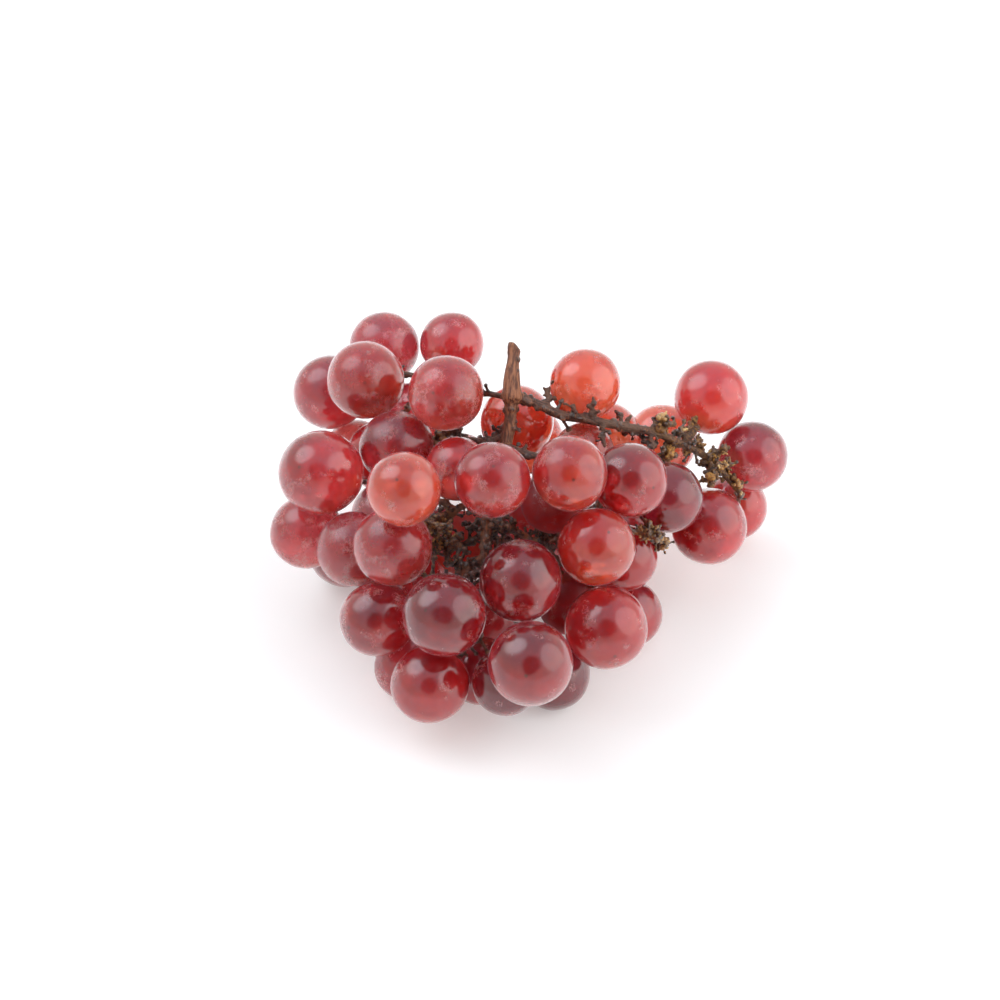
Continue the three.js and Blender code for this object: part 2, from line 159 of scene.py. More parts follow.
class Shader:
    """A material's node tree: attributes, patterns and the surface they feed."""

    def __init__(self, name):
        self.material = bpy.data.materials.new(name)
        self.material.use_nodes = True
        self.tree = self.material.node_tree
        self.surface = self.tree.nodes["Principled BSDF"]
        self.output = self.tree.nodes["Material Output"]
        coordinates = self.tree.nodes.new("ShaderNodeTexCoord")
        self.place = Socket(self.tree, coordinates.outputs["Object"])

    def node(self, kind, settings=(), **values):
        return self.place.node(kind, settings, **values)

    def attribute(self, name, output="Fac"):
        made = self.node("ShaderNodeAttribute", {"attribute_name": name})
        return Socket(self.tree, made.outputs[output])

    def scaled(self, size):
        """The object's coordinates, in units of size millimetres."""
        made = self.node("ShaderNodeVectorMath", {"operation": "SCALE"})
        put(self.tree, made, "Vector", self.place)
        put(self.tree, made, "Scale", 1 / (size * MM))
        return Socket(self.tree, made.outputs[0])

    def noise(self, size, detail=3.0, roughness=0.5, at=None):
        made = self.tree.nodes.new("ShaderNodeTexNoise")
        put(self.tree, made, "Vector", at or self.scaled(size))
        put(self.tree, made, "Scale", 1.0)
        put(self.tree, made, "Detail", detail)
        put(self.tree, made, "Roughness", roughness)
        return Socket(self.tree, made.outputs["Fac"])

    def cells(self, size, randomness=1.0, at=None):
        """Distance from the nearest of scattered points, in units of size millimetres."""
        made = self.tree.nodes.new("ShaderNodeTexVoronoi")
        put(self.tree, made, "Vector", at or self.scaled(size))
        put(self.tree, made, "Scale", 1.0)
        put(self.tree, made, "Randomness", randomness)
        return Socket(self.tree, made.outputs["Distance"])

    def bump(self, height, depth):
        """Raises the surface where height is 1, by depth millimetres."""
        made = self.tree.nodes.new("ShaderNodeBump")
        put(self.tree, made, "Height", height)
        put(self.tree, made, "Distance", depth * MM)
        put(self.tree, self.surface, "Normal", Socket(self.tree, made.outputs[0]))

    def along(self, way, across, length):
        """Coordinates for a pattern drawn out along a direction: its sizes in millimetres."""
        made = self.node("ShaderNodeMapping", {"vector_type": "TEXTURE"})
        put(self.tree, made, "Vector", self.place)
        made.inputs["Rotation"].default_value = way.to_track_quat("Z", "Y").to_euler()
        made.inputs["Scale"].default_value = (across * MM, across * MM, length * MM)
        return Socket(self.tree, made.outputs[0])

    def set(self, **values):
        """Links or sets inputs of the surface."""
        for name, value in values.items():
            put(self.tree, self.surface, name.replace("_", " "), value)


floor_look = Shader("white_table")
floor_look.set(Base_Color=(0.83, 0.855, 0.83), Roughness=0.6)
floor_look.set(Emission_Color=(1.0, 1.0, 1.0), Emission_Strength=0.3)
TABLE_REACH = 3.0
CORNERS = ((-1, -1), (1, -1), (1, 1), (-1, 1))
table_corners = [(x * TABLE_REACH, y * TABLE_REACH, 0) for x, y in CORNERS]
floor_mesh = bpy.data.meshes.new("table")
floor_mesh.from_pydata(table_corners, [], [(0, 1, 2, 3)])
floor_mesh.materials.append(floor_look.material)
floor = bpy.data.objects.new("table", floor_mesh)
bpy.context.scene.collection.objects.link(floor)

# The tent is open on the viewer's side, where the room is dark, and glows round the soft boxes.
RIGHT, LEFT = (0.88, -0.15, 0.45), (-0.6, 0.22, 0.77)
LOW_CLOTH, HIGH_CLOTH, ROOM = (0.97, 0.9, 0.86), (0.84, 0.85, 0.95), (0.2, 0.18, 0.18)
world = bpy.data.worlds.new("tent")
world.use_nodes = True
background = world.node_tree.nodes["Background"]
coordinates = world.node_tree.nodes.new("ShaderNodeTexCoord")
direction = Socket(world.node_tree, coordinates.outputs["Generated"])


def toward(way, rim, core):
    """1 within core degrees of a direction, 0 beyond rim degrees of it, smooth between."""
    facing = direction.node("ShaderNodeVectorMath", {"operation": "DOT_PRODUCT"})
    put(world.node_tree, facing, 0, direction)
    put(world.node_tree, facing, 1, Vector(way).normalized())
    nearness = Socket(world.node_tree, facing.outputs["Value"])
    return nearness.ramp(math.cos(math.radians(rim)), math.cos(math.radians(core)))


opening = toward(VIEW_BACK, rim=33, core=18)
cloth = direction.up().ramp(0.2, 0.9).mix(LOW_CLOTH, HIGH_CLOTH)
put(world.node_tree, background, "Color", opening.mix(cloth, ROOM))
glow = toward(LEFT, rim=30, core=8) * 1.6 + toward(RIGHT, rim=45, core=15) * 0.5
put(world.node_tree, background, "Strength", glow + 1.0)
bpy.context.scene.world = world


SOFT_BOX_DISTANCE = 1.1


def soft_box(name, way, width, height, power):
    """An oval soft box that stands off that way and faces the bunch."""
    data = bpy.data.lights.new(name, "AREA")
    data.shape = "ELLIPSE"
    data.size = width
    data.size_y = height
    data.energy = power
    lamp = bpy.data.objects.new(name, data)
    away = Vector(way).normalized()
    lamp.location = VIEW_TARGET + away * SOFT_BOX_DISTANCE
    lamp.rotation_euler = away.to_track_quat("Z", "Y").to_euler()
    bpy.context.scene.collection.objects.link(lamp)


soft_box("soft_box_right", RIGHT, width=1.5, height=1.6, power=4.5)
soft_box("soft_box_left", LEFT, width=0.8, height=1.2, power=1.5)

# The grapes
# Each is a thin taut skin over clear flesh, grown on its own pedicel. The skin is dusty with
# bloom, rubbed red in patches, and a grape that bears weight is pressed flat against the table.
# For each grape of the photograph: how dark it has ripened, from 0, coral, to 1, plum, and how
# much bloom it keeps, from 0 to 1.
LOOKS = {
    "left_shoulder": [(0.6, 0.75), (0.6, 0.45), (0.7, 0.45), (0.28, 0.6), (0.3, 0.7)],
    "left_middle": [(0.6, 0.8), (0.5, 0.0), (0.0, 1.0), (0.35, 0.6), (0.55, 0.5), (0.0, 0.35)],
    "left_low": [(0.45, 0.75), (1.0, 0.3), (0.4, 0.95), (0.45, 0.75)],
    "front_left": [(0.65, 0.4), (0.7, 0.5), (0.58, 0.35), (0.6, 0.7)],
    "tip": [(0.8, 0.35), (0.7, 0.45), (0.72, 0.3), (1.05, 0.35), (1.15, 0.25), (0.8, 0.4)],
    "front_right": [(0.52, 0.38), (0.65, 0.45), (0.22, 0.3), (0.55, 0.0)],
    "right_middle": [(0.45, 0.6), (0.28, 0.45), (0.62, 0.35), (1.0, 0.0), (-0.1, 0.9)],
    "arm": [(-0.5, 0.1), (0.2, 0.2), (0.0, 0.3), (0.0, 0.35), (-0.4, 0.4)],
    "wing": [(0.4, 0.38), (0.75, 0.5), (0.65, 0.35), (0.65, 0.0)],
    "inner": [(0.2, 0.4), (0.4, 0.4), (0.72, 0.4), (0.65, 0.4)],
    "back": [(0.5, 0.6), (0.6, 0.6), (0.55, 0.6), (0.7, 0.6)],
    "under": [(0.6, 0.5)] * 7,
}
ROUND, ROWS = 44, 26
# Painted light: each grape is painted darker plum on its side up and to the left, as shade, and
# paler coral on its opposite, lower side, as a glow of light through the grape.
PAINTED_SHADE_SIDE = Vector((-0.4, 0.35, 0.85)).normalized()
TABLE_GAP = 0.01 * MM
FLAT_TOP = 0.4 * MM  # what lies lower is a grape's flat against the table
COLLAR_REACH = 0.6 * MM
UNEVENNESS, UNEVEN_SPAN = 0.022, 1.3
SEAT_DEPTH, SEAT_WIDTH = 0.35 * MM, 1.9 * MM
SCAR_DEPTH, SCAR_WIDTH = 0.12 * MM, 0.5 * MM


def store(mesh, name, values):
    """Keeps one number for each vertex."""
    mesh.attributes.new(name, "FLOAT", "POINT").data.foreach_set("value", values)


def grape_fit(node):
    """Centre, radius across and longest radius of a CAD grape, in metres."""
    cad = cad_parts[node]
    points = np.array([cad.matrix_world @ v.co for v in cad.data.vertices])
    points = points[points[:, 2] > FLAT_TOP]
    system = np.hstack([2 * points, np.ones((len(points), 1))])
    centre_and_rest = np.linalg.lstsq(system, (points**2).sum(axis=1), rcond=None)[0]
    centre = centre_and_rest[:3]
    reaches = np.linalg.norm(points - centre, axis=1)
    return Vector(centre), float(np.percentile(reaches, 40)), float(reaches.max())


stem_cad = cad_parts["stem"]
stem_points = kdtree.KDTree(len(stem_cad.data.vertices))
for vertex in stem_cad.data.vertices:
    stem_points.insert(stem_cad.matrix_world @ vertex.co, vertex.index)
stem_points.balance()


def pedicel_way(centre, longest):
    """The direction from a grape's centre to where its pedicel holds it."""
    ring = stem_points.find_range(centre, longest + COLLAR_REACH) or [stem_points.find(centre)]
    middle = sum((hit[0] for hit in ring), Vector()) / len(ring)
    return (middle - centre).normalized()


def grape_mesh(name, centre, radius, longest, way, seed):
    """A closed, slightly uneven egg with a shallow seat for its pedicel and a small tip scar."""

    def dimple(off_axis, depth, width):
        return depth * math.exp(-((off_axis / width) ** 2))

    def first(row):
        return 1 + (row - 1) * ROUND

    turn = Vector((0, 0, 1)).rotation_difference(way).to_matrix()
    rolls = random.Random(seed)
    shift = Vector([rolls.uniform(-50, 50) for _ in range(3)])
    points, poles, painted_light_facing = [], [], []
    for row in range(ROWS + 1):
        polar = math.pi * row / ROWS
        ring = 1 if row in (0, ROWS) else ROUND
        for k in range(ring):
            around = 2 * math.pi * k / ROUND
            wide = math.sin(polar)
            out = Vector((wide * math.cos(around), wide * math.sin(around), math.cos(polar)))
            swell = 1 + UNEVENNESS * noise.noise(out * UNEVEN_SPAN + shift)
            seat = dimple(wide * radius, SEAT_DEPTH, SEAT_WIDTH) * (out.z > 0)
            scar = dimple(wide * radius, SCAR_DEPTH, SCAR_WIDTH) * (out.z < 0)
            spot = Vector((out.x * radius, out.y * radius, out.z * longest)) * swell
            spot.z -= seat + scar
            place = centre + turn @ spot
            place.z = max(place.z, TABLE_GAP)
            points.append(place)
            poles.append(out.z)
            # How far this point faces the side painted dark: painted shade there, a painted glow of
            # light on the far side.
            painted_light_facing.append((turn @ out).dot(PAINTED_SHADE_SIDE))
    faces = []
    for k in range(ROUND):
        faces.append((0, first(1) + k, first(1) + (k + 1) % ROUND))
        faces.append((len(points) - 1, first(ROWS - 1) + (k + 1) % ROUND, first(ROWS - 1) + k))
    for row in range(1, ROWS - 1):
        for k in range(ROUND):
            here, there = first(row) + k, first(row) + (k + 1) % ROUND
            faces.append((here, here + ROUND, there + ROUND, there))
    mesh = bpy.data.meshes.new(name)
    mesh.from_pydata(points, [], faces)
    mesh.shade_smooth()
    store(mesh, "pole", poles)
    store(mesh, "sun", painted_light_facing)
    return mesh


CORAL, CRIMSON, PLUM = (0.88, 0.14, 0.06), (0.72, 0.03, 0.03), (0.28, 0.01, 0.02)
TAN, SPECK, SCAR = (0.5, 0.16, 0.05), (0.6, 0.3, 0.22), (0.1, 0.05, 0.03)
PINK_BLOOM, MAUVE_BLOOM, FROST = (0.52, 0.15, 0.18), (0.26, 0.08, 0.125), (0.85, 0.52, 0.5)


def grape_skin():
    """Red to plum skin, glossy where it is rubbed and frosted with bloom elsewhere, with painted
    shade on its upper left and a painted glow of light on its lower side.
    """
    look = Shader("grape_skin")
    ripe = look.attribute("ripe")
    bloom = look.attribute("bloom")
    pole = look.attribute("pole")
    sun = look.attribute("sun")
    dull = look.attribute("dull")
    broad = look.noise(9.0, 2.0)
    mottle = look.noise(1.5, 4.0, 0.6)
    grit = look.noise(0.35, 3.0, 0.6)
    # Over how far each grape has ripened, its upper left is painted darker plum as shade and its
    # lower side paler coral as a glow of light through it.
    depth = ripe + sun * 0.22 + (broad - 0.5) * 0.7 + (mottle - 0.5) * 0.12
    young = depth.ramp(0.0, 0.5).mix(CORAL, CRIMSON)
    flesh = depth.ramp(0.45, 1.0).mix(young, PLUM)
    flesh = pole.ramp(0.86, 0.99, 0.0, 0.35).mix(flesh, TAN)
    flesh = look.cells(1.1).ramp(0.04, 0.13, 0.2, 0.0).mix(flesh, SPECK)
    flesh = pole.ramp(-0.999, -0.996, 0.75, 0.0).mix(flesh, SCAR)
    patches = look.noise(6.0, 3.0, 0.55)
    dust = (patches + (mottle - 0.5) * 0.25 + bloom * 0.5).ramp(0.55, 1.1)
    colour = (dust * 0.5).mix(flesh, ripe.mix(PINK_BLOOM, MAUVE_BLOOM))
    banks = (look.noise(5.0, 2.0) + bloom * 0.18).ramp(0.64, 0.74)
    frost = banks * (grit + (mottle - 0.5) * 0.6).ramp(0.5, 0.57)
    colour = (frost * 0.7).mix(colour, FROST)
    look.set(
        Base_Color=colour,
        Roughness=dust * 0.2 + frost * 0.3 + dull * 0.35 + 0.12,
        IOR=1.5,
        Coat_Weight=(1 - dust * 0.4) * (1 - dull),
        Coat_Roughness=0.08,
        Sheen_Weight=0.3,
        Sheen_Tint=(0.93, 0.85, 1.0),
        Sheen_Roughness=0.2,
        Transmission_Weight=0.6,
        Subsurface_Weight=1.0,
        Subsurface_Radius=(1.0, 0.2, 0.12),
        Subsurface_Scale=7 * MM,
    )
    look.bump(mottle * 0.5 + grit * 0.5, 0.02)
    return look.material


skin = grape_skin()
grape_balls = []
for spray, looks in LOOKS.items():
    for i, (ripe, bloom) in enumerate(looks, start=1):
        node = f"{spray}_berry_{i}"
        centre, radius, longest = grape_fit(node)
        way = pedicel_way(centre, longest)
        grape_balls.append((centre, longest))
        mesh = grape_mesh(f"{spray}_grape_{i}", centre, radius, longest, way, node)
        store(mesh, "ripe", [ripe] * len(mesh.vertices))
        store(mesh, "bloom", [bloom] * len(mesh.vertices))
        store(mesh, "dull", [float(spray == "inner")] * len(mesh.vertices))
        mesh.materials.append(skin)
        grape = bpy.data.objects.new(mesh.name, mesh)
        bpy.context.scene.collection.objects.link(grape)
        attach(grape, "root")
        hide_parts(node)

# The stem
# One woody piece: the cut stalk, its arms and branches, and a pedicel with a collar for each
# grape. Where grapes fell off it is rough with black knobs and spurs, and the driest sprigs
# carry shrivelled golden scraps.
# Where the photograph shows the driest, golden wood: x and y in its pixels, and the reach.
DRY_PLACES = [
    (665, 424, 14), (690, 420, 22), (703, 443, 12), (720, 460, 20), (735, 480, 18), (708, 482, 14),
    (672, 452, 16), (655, 542, 30), (432, 532, 26), (422, 576, 18), (443, 436, 10), (362, 424, 8),
]
# Where it shows a dark tangle of bare twigs between the grapes.
TANGLES = [
    (443, 504, 30), (440, 540, 22), (500, 530, 16), (530, 535, 24), (558, 530, 16),
    (597, 506, 22), (648, 534, 26), (455, 562, 16), (470, 545, 12),
    (450, 432, 16), (405, 408, 10)]
PICTURE_MIDDLE = PICTURE_WIDTH / 2
VIEW_UP = Vector((0, math.sin(VIEW_TILT), math.cos(VIEW_TILT)))


def in_picture(points):
    """Where points fall in the photograph, in its pixels."""
    away = points - np.array(camera.location)
    depth = away @ np.array(-VIEW_BACK)
    across = FOCAL_PIXELS * away[:, 0] / depth
    down = -FOCAL_PIXELS * (away @ np.array(VIEW_UP)) / depth
    return PICTURE_MIDDLE + across, PICTURE_MIDDLE + down


def from_picture(x, y, height):
    """The place at that height, in millimetres, behind a pixel of the photograph."""
    way = -VIEW_BACK * FOCAL_PIXELS
    way += Vector((x - PICTURE_MIDDLE, 0, 0)) - VIEW_UP * (y - PICTURE_MIDDLE)
    return camera.location + way * ((height * MM - camera.location.z) / way.z)


def positions(mesh):
    """The places of a mesh's vertices, as rows."""
    flat = np.empty(3 * len(mesh.vertices))
    mesh.vertices.foreach_get("co", flat)
    return flat.reshape(-1, 3)


MOST_ROOM = 20
FULL_PART = 0.3  # of a place's reach, within which it counts in full


def surface_tree(mesh):
    return BVHTree.FromPolygons([v.co for v in mesh.vertices], [f.vertices for f in mesh.polygons])


def measure(mesh):
    """Stores for each vertex the wood's thickness and the room to the next grape, both in
    millimetres, and from 0 to 1 how dry and how tangled the wood is there."""
    surface = surface_tree(mesh)
    thick = []
    for vertex in mesh.vertices:
        inward = -vertex.normal
        across = surface.ray_cast(vertex.co + inward * 0.05 * MM, inward)[3]
        thick.append((across or 0) / MM)
    store(mesh, "thick", thick)
    points = positions(mesh)
    room = np.full(len(points), 1.0)
    for centre, longest in grape_balls:
        room = np.minimum(room, np.linalg.norm(points - np.array(centre), axis=1) - longest)
    store(mesh, "room", np.clip(room / MM, 0, MOST_ROOM))
    x, y = in_picture(points)
    for name, places in (("dry", DRY_PLACES), ("tangle", TANGLES)):
        near = np.zeros(len(points))
        for place_x, place_y, reach in places:
            near = np.maximum(near, FULL_PART + 1 - np.hypot(x - place_x, y - place_y) / reach)
        store(mesh, name, np.clip(near, 0, 1))


def apply_modifiers(piece):
    """Gives the piece the mesh that its modifiers make, and takes them off."""
    evaluated = piece.evaluated_get(bpy.context.evaluated_depsgraph_get())
    finished = bpy.data.meshes.new_from_object(evaluated)
    piece.modifiers.clear()
    piece.data = finished
    return finished


TILT_SEEDS = 50


class Grower:
    """A geometry node tree that adds small growths to a surface."""

    def __init__(self, name):
        self.tree = bpy.data.node_groups.new(name, "GeometryNodeTree")
        sockets = self.tree.interface
        sockets.new_socket("Geometry", in_out="INPUT", socket_type="NodeSocketGeometry")
        sockets.new_socket("Geometry", in_out="OUTPUT", socket_type="NodeSocketGeometry")
        self.inputs = self.tree.nodes.new("NodeGroupInput")
        self.results = self.tree.nodes.new("NodeGroupOutput")
        self.values = {}
        self.parts = [Socket(self.tree, self.inputs.outputs["Geometry"])]
        self.seed = 0

    def value(self, name, amount):
        """A named number among the modifier's inputs."""
        sockets = self.tree.interface
        socket = sockets.new_socket(name, in_out="INPUT", socket_type="NodeSocketFloat")
        self.values[socket.identifier] = amount
        return Socket(self.tree, self.inputs.outputs[name])

    def node(self, kind, settings=(), **values):
        return self.parts[0].node(kind, settings, **values)

    def attribute(self, name):
        made = self.node("GeometryNodeInputNamedAttribute", {"data_type": "FLOAT"}, Name=name)
        return Socket(self.tree, made.outputs["Attribute"])

    def chance(self, low, high):
        """A number between low and high for each growth."""
        self.seed += 1
        made = self.node("FunctionNodeRandomValue", {"data_type": "FLOAT"}, Seed=self.seed)
        made.inputs[2].default_value = low
        made.inputs[3].default_value = high
        return Socket(self.tree, made.outputs[1])

    def ball(self, radius, at=(0, 0, 0), squash=1.0):
        """A small ball of that radius in millimetres, squashed along Z."""
        made = self.node("GeometryNodeMeshIcoSphere", Radius=radius * MM, Subdivisions=1)
        moved = self.node("GeometryNodeTransform", Translation=Vector(at) * MM)
        moved.inputs["Scale"].default_value = (1, 1, squash)
        self.tree.links.new(made.outputs["Mesh"], moved.inputs["Geometry"])
        return moved.outputs["Geometry"]

    def joined(self, outputs):
        made = self.node("GeometryNodeJoinGeometry")
        for output in reversed(outputs):
            self.tree.links.new(output, made.inputs["Geometry"])
        return made.outputs["Geometry"]

    def scatter(self, shape, density, size, lean, **marks):
        """Sets copies of shape on the surface, upright but for a lean of up to that angle."""
        self.seed += 1
        spots = self.node("GeometryNodeDistributePointsOnFaces", Seed=self.seed)
        self.tree.links.new(self.parts[0].output, spots.inputs["Mesh"])
        put(self.tree, spots, "Density", density)
        tilt_seed = self.seed + TILT_SEEDS
        tilt = self.node("FunctionNodeRandomValue", {"data_type": "FLOAT_VECTOR"}, Seed=tilt_seed)
        tilt.inputs[0].default_value = (-lean, -lean, -math.pi)
        tilt.inputs[1].default_value = (lean, lean, math.pi)
        turn = self.node("FunctionNodeEulerToRotation")
        self.tree.links.new(tilt.outputs[0], turn.inputs[0])
        turned = self.node("FunctionNodeRotateRotation", {"rotation_space": "LOCAL"})
        self.tree.links.new(spots.outputs["Rotation"], turned.inputs["Rotation"])
        self.tree.links.new(turn.outputs[0], turned.inputs["Rotate By"])
        copies = self.node("GeometryNodeInstanceOnPoints")
        self.tree.links.new(spots.outputs["Points"], copies.inputs["Points"])
        self.tree.links.new(shape, copies.inputs["Instance"])
        self.tree.links.new(turned.outputs[0], copies.inputs["Rotation"])
        put(self.tree, copies, "Scale", size)
        grown = copies.outputs["Instances"]
        for name, value in marks.items():
            settings = {"data_type": "FLOAT", "domain": "INSTANCE"}
            mark = self.node("GeometryNodeStoreNamedAttribute", settings, Name=name)
            self.tree.links.new(grown, mark.inputs["Geometry"])
            put(self.tree, mark, "Value", value)
            grown = mark.outputs["Geometry"]
        self.parts.append(Socket(self.tree, grown))

    def grow_on(self, piece, material):
        """Joins the surface and its growths, and hangs the tree on the piece."""
        realized = self.node("GeometryNodeRealizeInstances")
        joined = self.joined([part.output for part in self.parts])
        self.tree.links.new(joined, realized.inputs["Geometry"])
        coated = self.node("GeometryNodeSetMaterial", Material=material)
        self.tree.links.new(realized.outputs["Geometry"], coated.inputs["Geometry"])
        self.tree.links.new(coated.outputs["Geometry"], self.results.inputs["Geometry"])
        modifier = piece.modifiers.new(self.tree.name, "NODES")
        modifier.node_group = self.tree
        for identifier, amount in self.values.items():
            modifier[identifier] = amount


# The directions of the cut stalk, from the fork to its end, and of the bare arm.
STALK_WAY = Vector((0.05, 0.78, 0.62))
ARM_WAY = Vector((0.935, -0.3, -0.19))


DARK_GROOVE, LIGHT_WOOD, RACHIS_WOOD = (0.12, 0.042, 0.02), (0.42, 0.175, 0.08), (0.4, 0.19, 0.08)
DARK_BARK, BROWN_BARK, GREEN_BARK = (0.05, 0.024, 0.016), (0.2, 0.095, 0.06), (0.17, 0.09, 0.045)
DARK_STRAW, STRAW, COLLAR = (0.08, 0.035, 0.012), (0.4, 0.2, 0.05), (0.42, 0.21, 0.11)
# The third colour of the next line is painted shade: the near-black laid on knobs deep in the
# tangles between the grapes.
CHAR, FLECK, PAINTED_TANGLE_SHADE = (0.03, 0.018, 0.011), (0.36, 0.24, 0.06), (0.014, 0.01, 0.006)
DARK_HUSK, GOLDEN_HUSK, PALE_HUSK = (0.2, 0.07, 0.018), (0.72, 0.37, 0.09), (0.85, 0.6, 0.24)


def stem_bark():
    """Brown bark with a grain, tan on the stalk, charred at the knobs and golden where dry, with
    painted shade, near-black, on the knobs of the tangles between the grapes.
    """
    look = Shader("stem_bark")
    thick = look.attribute("thick")
    dry = look.attribute("dry")
    tangle = look.attribute("tangle")
    room = look.attribute("room")
    knob = look.attribute("knob")
    golden = look.attribute("golden")
    broad = look.noise(7.0, 2.0)
    mottle = look.noise(0.9, 4.0, 0.65)
    grit = look.noise(0.25, 3.0, 0.6)
    grain = look.noise(1.0, 3.0, 0.6, at=look.along(STALK_WAY, across=0.5, length=6))
    arm_grain = look.noise(1.0, 3.0, 0.6, at=look.along(ARM_WAY, across=0.4, length=4))
    stalk = thick.ramp(2.6, 3.4)
    tan = grain.ramp(0.38, 0.62).mix(DARK_GROOVE, LIGHT_WOOD)
    streaks = (arm_grain * 0.55 + mottle * 0.45).ramp(0.4, 0.6)
    brown = streaks.mix(DARK_BARK, BROWN_BARK)
    brown = broad.ramp(0.45, 0.65, 0.0, 0.5).mix(brown, GREEN_BARK)
    bark = stalk.mix(brown, tan)
    bark = (tangle * thick.ramp(1.3, 2.0) * 0.7).mix(bark, RACHIS_WOOD)
    straw = (mottle + (grit - 0.5) * 0.6).ramp(0.35, 0.7).mix(DARK_STRAW, STRAW)
    bark = (dry * mottle.ramp(0.35, 0.6)).mix(bark, straw)
    bark = (room.ramp(1.4, 0.3) * (1 - knob) * 0.7).mix(bark, COLLAR)
    burnt = (mottle + (broad - 0.5) * 0.6).ramp(0.62, 0.4, 0.2, 0.9)
    bark = ((knob * (1 - dry * 0.6)).ramp(0.1, 0.8) * burnt).mix(bark, CHAR)
    fine = grit * 0.6 + mottle * 0.4
    bark = (tangle * knob * fine.ramp(0.53, 0.62) * 0.6).mix(bark, FLECK)
    # Painted shade: near-black spots on the knobs of the tangled twigs deep between the grapes.
    bark = (tangle * knob * fine.ramp(0.5, 0.42) * 0.8).mix(bark, PAINTED_TANGLE_SHADE)
    husk = (grit * 0.5 + mottle * 0.5).ramp(0.4, 0.6).mix(DARK_HUSK, GOLDEN_HUSK)
    husk = golden.ramp(0.7, 1.1).mix(husk, PALE_HUSK)
    bark = golden.ramp(0.0, 0.5).mix(bark, husk)
    look.set(Base_Color=bark, Roughness=mottle.ramp(0.3, 0.7, 0.35, 0.65) - knob * 0.1)
    look.set(Coat_Weight=(knob + tangle).ramp(0.0, 1.0) * 0.9, Coat_Roughness=0.1)
    ridges = grain * stalk * 1.2 + arm_grain * (1 - stalk) * 0.8
    look.bump(mottle * 0.7 + grit * 0.4 + ridges, 0.4)
    return look.material


bark = stem_bark()


# Slim sprigs among the grapes, each from the nearest wood on: x and y in the photograph's pixels
# and the height in millimetres.
SPRIGS = [
    [(448, 509, 37.5), (444, 504, 38.5), (438, 499, 39.5)],
    [(450, 506, 38.0), (446, 500, 39.5), (437, 503, 38.5)],
    [(452, 514, 36.5), (448, 530, 32), (444, 546, 28), (450, 564, 26)],
    [(483, 556, 30.5), (470, 560, 29), (458, 574, 27)],
    [(486, 535, 33), (470, 540, 31), (456, 550, 28.5)],
    [(452, 512, 37), (440, 515, 38), (431, 524, 38), (428, 538, 36)],
    [(586, 512, 31), (592, 508, 33), (600, 505, 35), (610, 505, 36)],
    [(660, 546, 27.5), (663, 538, 32), (655, 533, 36), (645, 531, 38), (636, 533, 39.5)],
    [(434, 438, 46), (442, 436, 47), (453, 431, 49), (461, 429, 51)],
    [(408, 411, 47), (405, 405, 49)],
]


def with_sprigs(cad):
    """A mesh of the CAD stem's faces and a loose chain of edges for each sprig."""
    points = [cad.matrix_world @ v.co for v in cad.data.vertices]
    edges = []
    for path in SPRIGS:
        places = [from_picture(*spot) for spot in path]
        places.insert(0, stem_points.find(places[0])[0])
        edges += [(len(points) + i, len(points) + i + 1) for i in range(len(places) - 1)]
        points += places
    mesh = bpy.data.meshes.new("woody_stem")
    mesh.from_pydata(points, edges, [tuple(f.vertices) for f in cad.data.polygons])
    return mesh


stem = bpy.data.objects.new("woody_stem", with_sprigs(stem_cad))
bpy.context.scene.collection.objects.link(stem)

# A tube grows along every edge that has no face beside it.
sprigs = Grower("sprigs")
surface = sprigs.parts[0]
faces_beside = Socket(sprigs.tree, sprigs.node("GeometryNodeInputMeshEdgeNeighbors").outputs[0])
loose = surface.math("LESS_THAN", faces_beside, 0.5)
wood = sprigs.node("GeometryNodeMeshToCurve", Mesh=surface, Selection=loose)
sprig_radius = sprigs.value("Sprig radius", 0.65 * MM)
ring = sprigs.node("GeometryNodeCurvePrimitiveCircle", Resolution=8, Radius=sprig_radius)
tube = sprigs.node("GeometryNodeCurveToMesh", Fill_Caps=True)
sprigs.tree.links.new(wood.outputs["Curve"], tube.inputs["Curve"])
sprigs.tree.links.new(ring.outputs["Curve"], tube.inputs["Profile Curve"])
sprigs.parts.append(Socket(sprigs.tree, tube.outputs["Mesh"]))
sprigs.grow_on(stem, bark)


SWELL = 0.08 * MM  # gives back what the smoothing takes off


def fuse(voxel, rounds, kept=1.0):
    """Melts everything in the stem's mesh into one skin of voxels of that size in millimetres,
    smooths it that many rounds and keeps that share of its faces."""
    remesh = stem.modifiers.new("skin", "REMESH")
    remesh.mode = "VOXEL"
    remesh.voxel_size = voxel * MM
    remesh.use_smooth_shade = True
    smooth = stem.modifiers.new("round", "SMOOTH")
    smooth.factor = 0.5
    smooth.iterations = rounds
    swell = stem.modifiers.new("swell", "DISPLACE")
    swell.mid_level = 0
    swell.strength = SWELL
    thin = stem.modifiers.new("thin", "DECIMATE")
    thin.ratio = kept
    return apply_modifiers(stem)


# The fork, where the stalk runs into the arms without a step, and the stalk's cut end.
FORK = from_picture(512, 402, 58)
CUT_END = from_picture(515, 343, 68)
FORK_REACH, FORK_ROUNDS = 9 * MM, 25
STALK_REACH, STALK_RADIUS = 5 * MM, 2 * MM


def bulge(along, middle, width):
    """1 at the middle and fading out over the width on either side."""
    return math.exp(-(((along - middle) / width) ** 2))


